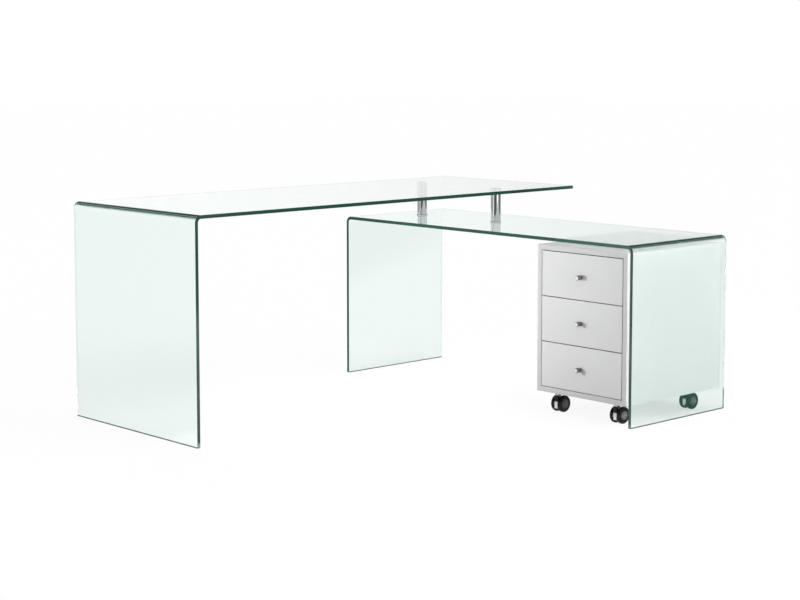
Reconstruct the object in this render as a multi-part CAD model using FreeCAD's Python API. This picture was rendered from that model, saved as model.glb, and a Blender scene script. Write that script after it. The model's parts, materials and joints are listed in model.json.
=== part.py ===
"""L-shaped bent-glass desk: a main top, a lower return on two posts, and a rolling three-drawer pedestal.

Millimetres. +Z is up and the user of the main top sits on its +X side. The drawers open towards -Y.
The origin is the middle of the whole outline, on the floor.
"""
import FreeCAD, Part
import os

V = FreeCAD.Vector
X_AXIS = V(1, 0, 0)
Y_AXIS = V(0, 1, 0)
Z_AXIS = V(0, 0, 1)

# ---------------------------------------------------------------- bent glass
GLASS = 12.0                  # thickness of both glass pieces
BEND_INSIDE = 12.0            # inside radius of each bend
GLASS_ARRIS = 1.0             # polished bevel along every glass edge
GLASS_CORNER = 3.0            # rounded corner where two free edges meet

MAIN_LENGTH = 1800.0          # along Y, from the leg to the free end
MAIN_WIDTH = 700.0            # along X
MAIN_HEIGHT = 750.0           # top face of the main top above the floor

RETURN_LENGTH = 1445.0        # along X, over both legs
RETURN_DEPTH = 515.0          # along Y
RETURN_DROP = 130.0           # return's top face below the main top's
RETURN_INSET_BACK = 15.0      # the return's hidden leg stands this far inside the main top's back edge
MAIN_OVERHANG = 45.0          # the main top's free end passes the return's back edge by this much

# ---------------------------------------------------------------- posts between the two tops
POST_RADIUS = 19.0
POST_WALL = 2.0
POST_END = 8.0                # solid end of the tube, tapped for the plate's stud
POST_PLATE = 3.0              # thickness of the bonded plate at each end
POST_BASE_RADIUS = 22.0       # the lower plate shows as a ring round the tube
STUD_RADIUS = 4.0
STUD_LENGTH = 7.0
POST_INSET_BACK = 175.0       # post centre to the main top's back edge
POST_INSET_USER = 122.0       # post centre to the main top's user edge

# ---------------------------------------------------------------- pedestal carcass
PEDESTAL_WIDTH = 405.0
PEDESTAL_DEPTH = 510.0
PEDESTAL_LEG_GAP = 11.0       # pedestal side to the return's end leg
PEDESTAL_HEADROOM = 15.0      # pedestal top to the underside of the return
PANEL = 18.0                  # lacquered board of the carcass
BACK_PANEL = 6.0
BACK_GROOVE = 6.0             # depth of the groove that holds the back panel
BACK_INSET = 8.0              # board left behind that groove
DOWEL_RADIUS = 4.0
DOWEL_LENGTH = 30.0
DOWEL_IN_FLAT = 12.0          # part of a dowel in the top or bottom board
DOWEL_EDGE = 50.0             # first and last dowel from the front and back edges
DOWELS_PER_JOINT = 3

# ---------------------------------------------------------------- drawers
DRAWERS = ("upper", "middle", "lower")
REVEAL = 2.5                  # gap round each drawer front
FRONT = 18.0                  # thickness of a drawer front
FRONT_ROUND = 1.0             # softened edge of a drawer front
BOX_WALL = 12.0
BOX_ROOM_BEHIND = 28.0        # free space between a drawer box and the back panel
BOX_LIFT = 14.0               # box above the lower edge of its front
BOX_DROP = 34.0               # box below the upper edge of its front
BASE = 4.0                    # thickness of the drawer's base
BASE_LIFT = 8.0               # base above the lower edge of the box
BASE_GROOVE = 6.0             # depth of the groove that holds the base
BASE_PLAY = 0.2               # slack of the base in its groove

RUNNER_WIDTH = 12.7           # side space that one pair of channels fills
RUNNER_HEIGHT = 45.0
RUNNER_SHORT = 10.0           # runner shorter than the drawer box
RUNNER_SHEET = 1.5            # steel thickness of the channels
RUNNER_PLAY = 0.3             # sliding clearance between the two channels
RUNNER_SETBACK = 4.0          # runner behind the drawer front

# ---------------------------------------------------------------- knobs
KNOB_LENGTH = 26.0
KNOB_RADIUS = 8.5             # head
KNOB_WAIST_STEP = 2.0         # waist's radius less than the head's
KNOB_HEAD = 21.0              # length of the head
KNOB_ROUND = 1.2
SCREW_RADIUS = 2.0
SCREW_HOLE_PLAY = 0.25
SCREW_IN_KNOB = 12.0
SCREW_HEAD_RADIUS = 4.5
SCREW_HEAD = 2.6

# ---------------------------------------------------------------- twin-wheel casters
WHEEL_RADIUS = 29.5
WHEEL_WIDTH = 12.4
WHEEL_ROUND_OUTSIDE = 5.0
WHEEL_ROUND_INSIDE = 1.5
HOUSING_WIDTH = 18.0
HOUSING_INSET = 3.0           # housing rim inside the wheel rim
BOSS_STEP = 0.4               # stem boss inside each side of the housing
WHEEL_GAP = 0.6               # wheel to housing
RUNNING_PLAY = 0.05           # radial clearance of every turning fit
AXLE_RADIUS = 3.0
CAP_RADIUS = 16.0
CAP_SEAT = 3.0                # depth of the seat for the cap in the wheel
CAP_DOME = 1.5                # rise of the cap out of its seat
CASTER_TRAIL = 20.0           # axle behind the stem
BOSS_FLOOR = 14.0             # lower end of the stem boss above the floor
BOSS_RISE = 2.0               # top of the stem boss above the wheel
STEM_RADIUS = 5.0
STEM_DEPTH = 30.0             # length of the stem inside the boss
COLLAR_RADIUS = 8.0
COLLAR_HEIGHT = 9.2
FLANGE_RADIUS = 13.0
FLANGE = 2.5
END_PLAY = 0.3                # axial clearance of the turning parts
STEM_IN_BOARD = 15.0          # threaded end of the stem in the bottom board
STEM_INSET_SIDE = 68.0        # stem to the pedestal's side
STEM_INSET_FRONT = 30.0       # stem to the pedestal's front
STEM_INSET_BACK = 108.0       # stem to the pedestal's back

# ---------------------------------------------------------------- places worked out from the sizes
main_x0 = -(RETURN_INSET_BACK + RETURN_LENGTH) / 2
main_x1 = main_x0 + MAIN_WIDTH
main_y0 = -MAIN_LENGTH / 2
main_y1 = main_y0 + MAIN_LENGTH
main_underside = MAIN_HEIGHT - GLASS

return_x0 = main_x0 + RETURN_INSET_BACK
return_x1 = return_x0 + RETURN_LENGTH
return_y1 = main_y1 - MAIN_OVERHANG
return_y0 = return_y1 - RETURN_DEPTH
return_height = MAIN_HEIGHT - RETURN_DROP
return_underside = return_height - GLASS

boss_top = 2 * WHEEL_RADIUS + BOSS_RISE
pedestal_z0 = boss_top + END_PLAY + COLLAR_HEIGHT + FLANGE
pedestal_z1 = return_underside - PEDESTAL_HEADROOM
pedestal_x1 = return_x1 - GLASS - PEDESTAL_LEG_GAP
pedestal_x0 = pedestal_x1 - PEDESTAL_WIDTH
pedestal_y0 = return_y0
pedestal_y1 = pedestal_y0 + PEDESTAL_DEPTH

inner_x0 = pedestal_x0 + PANEL
inner_x1 = pedestal_x1 - PANEL
inner_z0 = pedestal_z0 + PANEL
inner_z1 = pedestal_z1 - PANEL
drawer_middle_x = (inner_x0 + inner_x1) / 2
front_height = (inner_z1 - inner_z0 - (len(DRAWERS) + 1) * REVEAL) / len(DRAWERS)
box_height = front_height - BOX_LIFT - BOX_DROP
box_length = PEDESTAL_DEPTH - FRONT - BOX_ROOM_BEHIND - BACK_PANEL - BACK_INSET
runner_length = box_length - RUNNER_SHORT

boss_radius = HOUSING_WIDTH / 2 - BOSS_STEP
wheel_inner = HOUSING_WIDTH / 2 + WHEEL_GAP
wheel_outer = wheel_inner + WHEEL_WIDTH


# ---------------------------------------------------------------- helpers
def block(x0, x1, y0, y1, z0, z1):
    """A box between two corners."""
    return Part.makeBox(x1 - x0, y1 - y0, z1 - z0, V(x0, y0, z0))


def rod(radius, start, axis, length):
    """A round bar from a point along an axis."""
    return Part.makeCylinder(radius, length, start, axis)


def prism(points, direction):
    """A flat outline pulled along a direction."""
    return Part.Face(Part.makePolygon(points + points[:1])).extrude(direction)


def turned(points, centre, axis):
    """A closed outline turned once round an axis."""
    return Part.Face(Part.makePolygon(points + points[:1])).revolve(centre, axis, 360)


def edges_at(shape, direction, spots):
    """The straight edges that lie on the line through one of the given points along a direction."""
    found = []
    for edge in shape.Edges:
        first, last = edge.Vertexes[0].Point, edge.Vertexes[-1].Point
        along = (last - first).normalize()
        if abs(along.dot(direction)) < 0.999:
            continue
        if any((spot - first).cross(along).Length < 1e-3 for spot in spots):
            found.append(edge)
    return found


def sharp_edges(shape):
    """Every edge where two faces meet at an angle, leaving out the smooth seams."""
    found = []
    for edge in shape.Edges:
        middle = edge.valueAt((edge.FirstParameter + edge.LastParameter) / 2)
        normals = []
        for face in shape.ancestorsOfType(edge, Part.Face):
            u, v = face.Surface.parameter(middle)
            normals.append(face.normalAt(u, v))
        if len(normals) == 2 and normals[0].dot(normals[1]) < 0.9:
            found.append(edge)
    return found


def save(node, *solids):
    """Write the separate solids of one node."""
    shape = solids[0] if len(solids) == 1 else Part.makeCompound(list(solids))
    shape.exportStep(os.path.join("parts", node + ".step"))


# ---------------------------------------------------------------- bent glass
def finished_glass(sheet, bends_out, bends_in, across, corners):
    """Round the bends and free corners of a folded sheet, then bevel its edges.

    bends_out and bends_in are points on the outside and inside fold lines, across is their direction,
    and corners lists (direction, point) pairs for the free corners.
    """
    sheet = sheet.makeFillet(BEND_INSIDE + GLASS, edges_at(sheet, across, bends_out))
    sheet = sheet.makeFillet(BEND_INSIDE, edges_at(sheet, across, bends_in))
    for direction, point in corners:
        sheet = sheet.makeFillet(GLASS_CORNER, edges_at(sheet, direction, [point]))
    return sheet.makeChamfer(GLASS_ARRIS, sharp_edges(sheet))


def main_glass():
    """The main top and its one leg, bent from a single sheet."""
    outline = [
        V(main_x0, main_y0, 0),
        V(main_x0, main_y0, MAIN_HEIGHT),
        V(main_x0, main_y1, MAIN_HEIGHT),
        V(main_x0, main_y1, main_underside),
        V(main_x0, main_y0 + GLASS, main_underside),
        V(main_x0, main_y0 + GLASS, 0),
    ]
    sheet = prism(outline, X_AXIS * MAIN_WIDTH)
    corners = []
    for x in (main_x0, main_x1):
        corners.append((Y_AXIS, V(x, main_y0, 0)))
        corners.append((Z_AXIS, V(x, main_y1, MAIN_HEIGHT)))
    return finished_glass(sheet, outline[1:2], outline[4:5], X_AXIS, corners)


def return_glass():
    """The return's top and its two legs, bent from a single sheet."""
    outline = [
        V(return_x0, return_y0, 0),
        V(return_x0, return_y0, return_height),
        V(return_x1, return_y0, return_height),
        V(return_x1, return_y0, 0),
        V(return_x1 - GLASS, return_y0, 0),
        V(return_x1 - GLASS, return_y0, return_underside),
        V(return_x0 + GLASS, return_y0, return_underside),
        V(return_x0 + GLASS, return_y0, 0),
    ]
    sheet = prism(outline, Y_AXIS * RETURN_DEPTH)
    corners = [(X_AXIS, V(return_x0, y, 0)) for y in (return_y0, return_y1)]
    return finished_glass(sheet, outline[1:3], outline[5:7], Y_AXIS, corners)


# ---------------------------------------------------------------- posts
def post_centres():
    """Centre of each post on the return's top face, back post first."""
    y = (return_y0 + return_y1) / 2
    return [V(main_x0 + POST_INSET_BACK, y, return_height), V(main_x1 - POST_INSET_USER, y, return_height)]


def post_tube(centre):
    """A tube closed by a tapped end at the top and the bottom."""
    z0 = return_height + POST_PLATE
    z1 = main_underside - POST_PLATE
    foot = V(centre.x, centre.y, z0)
    tube = rod(POST_RADIUS, foot, Z_AXIS, z1 - z0)
    hollow = rod(POST_RADIUS - POST_WALL, foot + Z_AXIS * POST_END, Z_AXIS, z1 - z0 - 2 * POST_END)
    bore = rod(STUD_RADIUS, foot, Z_AXIS, z1 - z0)
    return tube.cut(hollow).cut(bore)


def bonded_plate(centre, glass_face, radius, direction):
    """A plate bonded to a glass face, with the stud that the tube screws onto."""
    face = V(centre.x, centre.y, glass_face)
    plate = rod(radius, face, direction, POST_PLATE)
    return plate.fuse(rod(STUD_RADIUS, face, direction, POST_PLATE + STUD_LENGTH)).removeSplitter()


def save_posts():
    back, user = post_centres()
    save("post_back_tube", post_tube(back))
    save("post_user_tube", post_tube(user))
    save("post_base_plates", *[bonded_plate(c, return_height, POST_BASE_RADIUS, Z_AXIS) for c in (back, user)])
    save("post_top_plates", *[bonded_plate(c, main_underside, POST_RADIUS, -Z_AXIS) for c in (back, user)])


# ---------------------------------------------------------------- pedestal carcass
def dowel_places():
    """Lower end of each dowel, in the joints of the bottom board and then of the top board."""
    places = []
    step = (PEDESTAL_DEPTH - 2 * DOWEL_EDGE) / (DOWELS_PER_JOINT - 1)
    for z in (inner_z0 - DOWEL_IN_FLAT, inner_z1 + DOWEL_IN_FLAT - DOWEL_LENGTH):
        for x in (pedestal_x0 + PANEL / 2, pedestal_x1 - PANEL / 2):
            for i in range(DOWELS_PER_JOINT):
                places.append(V(x, pedestal_y0 + DOWEL_EDGE + i * step, z))
    return places


def stem_places():
    """Each caster's name and its stem's axis on the floor."""
    sides = {"left": pedestal_x0 + STEM_INSET_SIDE, "right": pedestal_x1 - STEM_INSET_SIDE}
    rows = {"front": pedestal_y0 + STEM_INSET_FRONT, "rear": pedestal_y1 - STEM_INSET_BACK}
    return [(row + "_" + side, V(x, y, 0)) for row, y in rows.items() for side, x in sides.items()]


def back_panel():
    return block(inner_x0 - BACK_GROOVE, inner_x1 + BACK_GROOVE,
                 pedestal_y1 - BACK_INSET - BACK_PANEL, pedestal_y1 - BACK_INSET,
                 inner_z0 - BACK_GROOVE, inner_z1 + BACK_GROOVE)


def carcass_stems():
    """One stem per caster, screwed into the bottom board, that the caster turns on."""
    stems = []
    for _, place in stem_places():
        pivot = rod(STEM_RADIUS, place + Z_AXIS * (boss_top - STEM_DEPTH), Z_AXIS,
                    pedestal_z0 + STEM_IN_BOARD - boss_top + STEM_DEPTH)
        collar = rod(COLLAR_RADIUS, place + Z_AXIS * (boss_top + END_PLAY), Z_AXIS, COLLAR_HEIGHT)
        flange = rod(FLANGE_RADIUS, place + Z_AXIS * (pedestal_z0 - FLANGE), Z_AXIS, FLANGE)
        stems.append(pivot.fuse([collar, flange]).removeSplitter())
    return stems


def save_carcass():
    dowels = [rod(DOWEL_RADIUS, place, Z_AXIS, DOWEL_LENGTH) for place in dowel_places()]
    stems = carcass_stems()
    back = back_panel()
    y0, y1 = pedestal_y0, pedestal_y1
    boards = {
        "carcass_bottom": block(pedestal_x0, pedestal_x1, y0, y1, pedestal_z0, inner_z0),
        "carcass_top": block(pedestal_x0, pedestal_x1, y0, y1, inner_z1, pedestal_z1),
        "carcass_left_side": block(pedestal_x0, inner_x0, y0, y1, inner_z0, inner_z1),
        "carcass_right_side": block(inner_x1, pedestal_x1, y0, y1, inner_z0, inner_z1),
    }
    for node, board in boards.items():
        save(node, board.cut([back] + dowels + stems))
    save("carcass_back", back)
    save("carcass_dowels", *dowels)
    save("caster_stems", *stems)


# ---------------------------------------------------------------- drawers
def front_floor(index):
    """Lower edge of a drawer front, counted from the top drawer."""
    steps_up = len(DRAWERS) - 1 - index
    return inner_z0 + REVEAL + steps_up * (front_height + REVEAL)


def channel(web_x, way, y0, height, middle_z, flange):
    """A C-shaped steel channel whose web starts at web_x and whose flanges point along way (+1 or -1)."""
    top = middle_z + height / 2
    foot = middle_z - height / 2
    inside = web_x + way * RUNNER_SHEET
    tip = web_x + way * flange
    outline = [
        V(web_x, y0, foot),
        V(tip, y0, foot),
        V(tip, y0, foot + RUNNER_SHEET),
        V(inside, y0, foot + RUNNER_SHEET),
        V(inside, y0, top - RUNNER_SHEET),
        V(tip, y0, top - RUNNER_SHEET),
        V(tip, y0, top),
        V(web_x, y0, top),
    ]
    return prism(outline, Y_AXIS * runner_length)


def runner_pairs(index):
    """The carcass channels and the drawer channels of one drawer, as two lists."""
    middle_z = front_floor(index) + BOX_LIFT + box_height / 2
    y0 = pedestal_y0 + FRONT + RUNNER_SETBACK
    flange = RUNNER_WIDTH - RUNNER_SHEET - RUNNER_PLAY
    slim = RUNNER_HEIGHT - 2 * RUNNER_SHEET - 2 * RUNNER_PLAY
    fixed = []
    sliding = []
    for wall, way in ((inner_x0, 1), (inner_x1, -1)):
        fixed.append(channel(wall, way, y0, RUNNER_HEIGHT, middle_z, flange))
        sliding.append(channel(wall + way * RUNNER_WIDTH, -way, y0, slim, middle_z, flange))
    return fixed, sliding


def knob(centre):
    """A turned knob: a plain waist against the front and a wider head with softened rims."""
    def ring(radius, out):
        return V(centre.x + radius, centre.y - out, centre.z)
    neck = KNOB_LENGTH - KNOB_HEAD
    shape = turned([
        ring(0, 0),
        ring(KNOB_RADIUS - KNOB_WAIST_STEP, 0),
        ring(KNOB_RADIUS - KNOB_WAIST_STEP, neck),
        ring(KNOB_RADIUS, neck),
        ring(KNOB_RADIUS, KNOB_LENGTH),
        ring(0, KNOB_LENGTH),
    ], centre, Y_AXIS)
    rims = [e for e in shape.Edges if e.Closed and abs(e.Curve.Radius - KNOB_RADIUS) < 1e-6]
    shape = shape.makeFillet(KNOB_ROUND, rims)
    return shape.cut(rod(SCREW_RADIUS, centre, -Y_AXIS, SCREW_IN_KNOB))


def knob_screw(centre):
    """The screw that pulls a knob onto its front, with its head inside the drawer."""
    inside = centre + Y_AXIS * FRONT
    shank = rod(SCREW_RADIUS, inside, -Y_AXIS, FRONT + SCREW_IN_KNOB)
    return shank.fuse(rod(SCREW_HEAD_RADIUS, inside, Y_AXIS, SCREW_HEAD)).removeSplitter()


def save_drawer(index, name):
    floor = front_floor(index)
    front_back = pedestal_y0 + FRONT
    knob_centre = V(drawer_middle_x, pedestal_y0, floor + front_height / 2)

    front = block(inner_x0 + REVEAL, inner_x1 - REVEAL, pedestal_y0, front_back, floor, floor + front_height)
    front = front.makeFillet(FRONT_ROUND, [e for e in front.Edges if e.CenterOfMass.y < pedestal_y0 + FRONT_ROUND])
    front = front.cut(rod(SCREW_RADIUS + SCREW_HOLE_PLAY, knob_centre, Y_AXIS, FRONT))

    box_x0 = inner_x0 + RUNNER_WIDTH
    box_x1 = inner_x1 - RUNNER_WIDTH
    box_z0 = floor + BOX_LIFT
    box_z1 = box_z0 + box_height
    box_end = front_back + box_length
    base_z0 = box_z0 + BASE_LIFT
    reach = BASE_GROOVE - BASE_PLAY
    base = block(box_x0 + BOX_WALL - reach, box_x1 - BOX_WALL + reach,
                 front_back, box_end - BOX_WALL + reach, base_z0, base_z0 + BASE)
    groove = block(box_x0 + BOX_WALL - BASE_GROOVE, box_x1 - BOX_WALL + BASE_GROOVE,
                   front_back, box_end - BOX_WALL + BASE_GROOVE, base_z0, base_z0 + BASE + BASE_PLAY)
    left = block(box_x0, box_x0 + BOX_WALL, front_back, box_end, box_z0, box_z1).cut(groove)
    right = block(box_x1 - BOX_WALL, box_x1, front_back, box_end, box_z0, box_z1).cut(groove)
    back = block(box_x0 + BOX_WALL, box_x1 - BOX_WALL, box_end - BOX_WALL, box_end, box_z0, box_z1).cut(groove)

    save(name + "_drawer_front", front)
    save(name + "_drawer_sides", left, right)
    save(name + "_drawer_back", back)
    save(name + "_drawer_base", base)
    save(name + "_drawer_runners", *runner_pairs(index)[1])
    save(name + "_drawer_knob", knob(knob_centre))
    save(name + "_drawer_knob_screw", knob_screw(knob_centre))


def save_drawers():
    for index, name in enumerate(DRAWERS):
        save_drawer(index, name)
    fixed = [channel_solid for index in range(len(DRAWERS)) for channel_solid in runner_pairs(index)[0]]
    save("carcass_runners", *fixed)


# ---------------------------------------------------------------- casters
def caster_housing(stem, axle):
    """The body between the two wheels: a disc round the axle joined to the upright stem boss."""
    disc = rod(WHEEL_RADIUS - HOUSING_INSET, axle - X_AXIS * (HOUSING_WIDTH / 2), X_AXIS, HOUSING_WIDTH)
    boss = rod(boss_radius, stem + Z_AXIS * BOSS_FLOOR, Z_AXIS, boss_top - BOSS_FLOOR)
    stem_bore = rod(STEM_RADIUS + RUNNING_PLAY, stem + Z_AXIS * (boss_top - STEM_DEPTH - END_PLAY),
                    Z_AXIS, STEM_DEPTH + END_PLAY)
    axle_bore = rod(AXLE_RADIUS, axle - X_AXIS * HOUSING_WIDTH, X_AXIS, 2 * HOUSING_WIDTH)
    return disc.fuse(boss).removeSplitter().cut([stem_bore, axle_bore])


def caster_wheel(axle, way):
    """A wheel with rounded rims, a running bore and a round seat for its cap, on the side given by way."""
    wheel = rod(WHEEL_RADIUS, axle + X_AXIS * (way * wheel_inner), X_AXIS * way, WHEEL_WIDTH)
    inner_rim = [e for e in wheel.Edges if e.Closed and abs(e.CenterOfMass.x - axle.x) < wheel_inner + 1e-6]
    wheel = wheel.makeFillet(WHEEL_ROUND_INSIDE, inner_rim)
    outer_rim = [e for e in wheel.Edges if e.Closed and abs(e.CenterOfMass.x - axle.x) > wheel_outer - 1e-6]
    wheel = wheel.makeFillet(WHEEL_ROUND_OUTSIDE, outer_rim)
    bore = rod(AXLE_RADIUS + RUNNING_PLAY, axle, X_AXIS * way, wheel_outer)
    seat = rod(CAP_RADIUS, axle + X_AXIS * (way * (wheel_outer - CAP_SEAT)), X_AXIS * way, CAP_SEAT)
    return wheel.cut([bore, seat])


def hub_cap(axle, way):
    """A round cap with a low dome, pressed into the wheel's seat."""
    def spot(out, radius):
        return axle + X_AXIS * (way * (wheel_outer - CAP_SEAT + out)) + Z_AXIS * radius
    dome_radius = (CAP_RADIUS ** 2 + CAP_DOME ** 2) / (2 * CAP_DOME)
    half_sag = dome_radius - (dome_radius ** 2 - (CAP_RADIUS / 2) ** 2) ** 0.5
    apex = spot(CAP_SEAT + CAP_DOME, 0)
    rim = spot(CAP_SEAT, CAP_RADIUS)
    outline = Part.Wire([
        Part.makeLine(apex, spot(0, 0)),
        Part.makeLine(spot(0, 0), spot(0, CAP_RADIUS)),
        Part.makeLine(spot(0, CAP_RADIUS), rim),
        Part.Arc(rim, spot(CAP_SEAT + CAP_DOME - half_sag, CAP_RADIUS / 2), apex).toShape(),
    ])
    return Part.Face(outline).revolve(axle, X_AXIS, 360)


def save_caster(name, stem):
    axle = stem + Y_AXIS * CASTER_TRAIL + Z_AXIS * WHEEL_RADIUS
    half = wheel_outer - CAP_SEAT - END_PLAY
    save(name + "_caster_housing", caster_housing(stem, axle))
    save(name + "_caster_axle", rod(AXLE_RADIUS, axle - X_AXIS * half, X_AXIS, 2 * half))
    for side, way in (("left", -1), ("right", 1)):
        save(name + "_caster_" + side + "_wheel", caster_wheel(axle, way))
        save(name + "_caster_" + side + "_hub_cap", hub_cap(axle, way))


# ---------------------------------------------------------------- the whole object
os.makedirs("parts", exist_ok=True)
save("main_glass", main_glass())
save("return_glass", return_glass())
save_posts()
save_carcass()
save_drawers()
for caster_name, caster_stem in stem_places():
    save_caster(caster_name, caster_stem)
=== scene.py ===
# %% [markdown]
# # A bent-glass desk with a rolling drawer pedestal
# The desk is two sheets of clear glass, each folded hot over a former: a long main top that turns down into
# one leg, and a lower return with a leg at both ends. Two chrome posts carry the free end of the main top
# over the return, and a lacquered three-drawer pedestal on twin-wheel casters stands under the return.
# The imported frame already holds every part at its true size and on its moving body, so this file only has
# to give each part its real surface and its worked edges. It could also be drawn from nothing, but then the
# drawers and wheels would no longer follow the joints. Everything is in metres, with the floor at z = 0.

# %% Load the frame
import bmesh
import bpy
import json
import math
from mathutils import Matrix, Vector


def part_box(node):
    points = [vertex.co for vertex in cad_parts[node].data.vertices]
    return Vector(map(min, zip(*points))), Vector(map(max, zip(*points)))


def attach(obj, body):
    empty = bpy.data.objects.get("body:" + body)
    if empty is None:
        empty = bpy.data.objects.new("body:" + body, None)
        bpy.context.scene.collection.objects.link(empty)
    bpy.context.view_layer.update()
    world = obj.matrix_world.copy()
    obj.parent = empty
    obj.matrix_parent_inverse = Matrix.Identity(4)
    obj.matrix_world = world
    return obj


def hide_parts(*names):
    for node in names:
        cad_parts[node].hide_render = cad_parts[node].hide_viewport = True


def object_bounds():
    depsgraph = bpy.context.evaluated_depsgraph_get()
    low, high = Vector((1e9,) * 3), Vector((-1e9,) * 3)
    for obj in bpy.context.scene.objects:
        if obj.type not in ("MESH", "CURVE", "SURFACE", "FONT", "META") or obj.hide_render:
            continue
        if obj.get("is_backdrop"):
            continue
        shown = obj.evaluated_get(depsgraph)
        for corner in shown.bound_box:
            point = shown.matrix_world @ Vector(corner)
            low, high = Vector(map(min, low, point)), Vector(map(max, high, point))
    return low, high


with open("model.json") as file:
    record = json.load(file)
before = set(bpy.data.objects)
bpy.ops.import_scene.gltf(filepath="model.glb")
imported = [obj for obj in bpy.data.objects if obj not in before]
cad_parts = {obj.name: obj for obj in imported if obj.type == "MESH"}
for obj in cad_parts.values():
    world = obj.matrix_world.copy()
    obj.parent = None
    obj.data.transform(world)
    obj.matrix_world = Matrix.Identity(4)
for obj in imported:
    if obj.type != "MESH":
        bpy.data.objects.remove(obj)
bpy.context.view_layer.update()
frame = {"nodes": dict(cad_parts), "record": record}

MM = 0.001
DRAWERS = ("upper", "middle", "lower")
CASTERS = ("front_left", "front_right", "rear_left", "rear_right")

# %% [markdown]
# ## Colours and nodes
# A maker's colour card gives a colour as a hex value made for the eye, while the renderer counts light, so
# one function turns the first into the second. Another adds a node with its links and values. With these
# two, each finish below reads as a short recipe, which is easier to change than a nest of helpers.


# %% Colour and node helpers
def linear(code):
    """A colour-card hex value as linear RGBA."""
    parts = [int(code[i:i + 2], 16) / 255 for i in (0, 2, 4)]
    return [c / 12.92 if c <= 0.04045 else ((c + 0.055) / 1.055) ** 2.4 for c in parts] + [1.0]


def add(tree, kind, links=None, values=None, **settings):
    """Add one node: settings are its attributes, values its constant inputs, links its linked inputs."""
    node = tree.nodes.new("ShaderNode" + kind)
    for key, value in settings.items():
        setattr(node, key, value)
    for key, value in (values or {}).items():
        node.inputs[key].default_value = value
    for key, source in (links or {}).items():
        tree.links.new(source, node.inputs[key])
    return node


def new_finish(name):
    """An empty material: its tree, its object coordinates in metres and its output node."""
    material = bpy.data.materials.new(name)
    material.use_nodes = True
    tree = material.node_tree
    tree.nodes.clear()
    place = add(tree, "TexCoord").outputs["Object"]
    return material, tree, place, add(tree, "OutputMaterial")


FINISH = {}
print("mid grey on the card, as light:", round(linear("808080")[0], 3))

# %% [markdown]
# ## Clear float glass, bent and tempered
# Float glass looks colourless through its thickness and dark green along its length, because iron in the
# melt takes off red light and some blue. A tint in the surface would make both the same green, so the
# surface stays white and the colour sits in the volume, as a loss per metre of travel. The faces are fire
# polished and nearly free of roughness. What the eye catches are faint wiping marks and the slow ripple of
# a sheet that sagged over rollers, so those two are the detail here. The legs, folds and edges also get a
# faint painted green glow, which stands in for the green light that runs down inside the sheet and lifts
# the darkest places to a deep green. The lower top gets a weaker painted glow and the upper top none, so
# the upper top stays the clearest.


# %% Glass finish
# painted green glow on the legs, folds and edges, weaker on the lower top, for light carried inside the sheet
EDGE_PAINTED_GLOW = 0.055
LOWER_TOP_PAINTED_GLOW = 0.03


def bent_glass():
    material, tree, place, out = new_finish("bent_float_glass")
    # wiping marks run along the sheet, about 40 mm apart and ten times as long
    along_sheet = add(tree, "Mapping", {"Vector": place}, {"Scale": (1, 0.1, 0.1)})
    wiped = add(tree, "TexNoise", {"Vector": along_sheet.outputs[0]}, {"Scale": 1 / (40 * MM), "Detail": 3})
    haze = add(tree, "MapRange", {"Value": wiped.outputs["Fac"]},
               {"From Min": 0.45, "From Max": 0.75, "To Min": 0.0, "To Max": 0.02})
    # roller ripple of 160 mm, a few thousandths of a millimetre deep
    sag = add(tree, "TexNoise", {"Vector": place}, {"Scale": 1 / (160 * MM), "Detail": 0})
    ripple = add(tree, "Bump", {"Height": sag.outputs["Fac"]}, {"Strength": 0.3, "Distance": 0.05 * MM})
    # the painted glow shows on outer faces only, and the upper top gets none at all
    surface = add(tree, "NewGeometry")
    upward = add(tree, "SeparateXYZ", {0: surface.outputs["Normal"]}).outputs["Z"]
    height = add(tree, "SeparateXYZ", {0: place}).outputs["Z"]
    slope = add(tree, "Math", {0: upward}, operation="ABSOLUTE")
    flat = add(tree, "MapRange", {"Value": height},
               {"From Min": 0.63, "From Max": 0.73, "To Min": LOWER_TOP_PAINTED_GLOW, "To Max": 0.0})
    painted_glow = add(tree, "MapRange", {"Value": slope.outputs[0], "To Max": flat.outputs[0]},
               {"From Min": 0.95, "From Max": 0.999, "To Min": EDGE_PAINTED_GLOW})
    outward_painted_glow = add(tree, "Mix", {"Factor": surface.outputs["Backfacing"], 2: painted_glow.outputs[0]}, {3: 0.0},
                  data_type="FLOAT")
    shader = add(tree, "BsdfPrincipled",
                 {"Roughness": haze.outputs[0], "Normal": ripple.outputs[0],
                  "Emission Strength": outward_painted_glow.outputs[0]},
                 {"Base Color": (1, 1, 1, 1), "IOR": 1.52, "Transmission Weight": 1.0,
                  "Emission Color": (0.25, 1.0, 0.76, 1)})
    # loss per metre is the density times one less the colour: 8.6 of red, 5.5 of green and 6.5 of blue
    melt = add(tree, "VolumeAbsorption", None, {"Color": (0.01, 0.37, 0.25, 1), "Density": 8.7})
    tree.links.new(shader.outputs[0], out.inputs["Surface"])
    tree.links.new(melt.outputs[0], out.inputs["Volume"])
    return material


FINISH["bent_glass"] = bent_glass()
print("finish:", FINISH["bent_glass"].name)

# %% [markdown]
# ## One recipe for opaque finishes
# Most finishes here are made up alike: the colour and the gloss drift slowly over patches, and a finer grain
# stands up as relief. One function holds that make-up, and each finish gives it only its own patterns and
# tones. A tree of nodes for each would allow more, but it would hide what makes two finishes differ.


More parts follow.
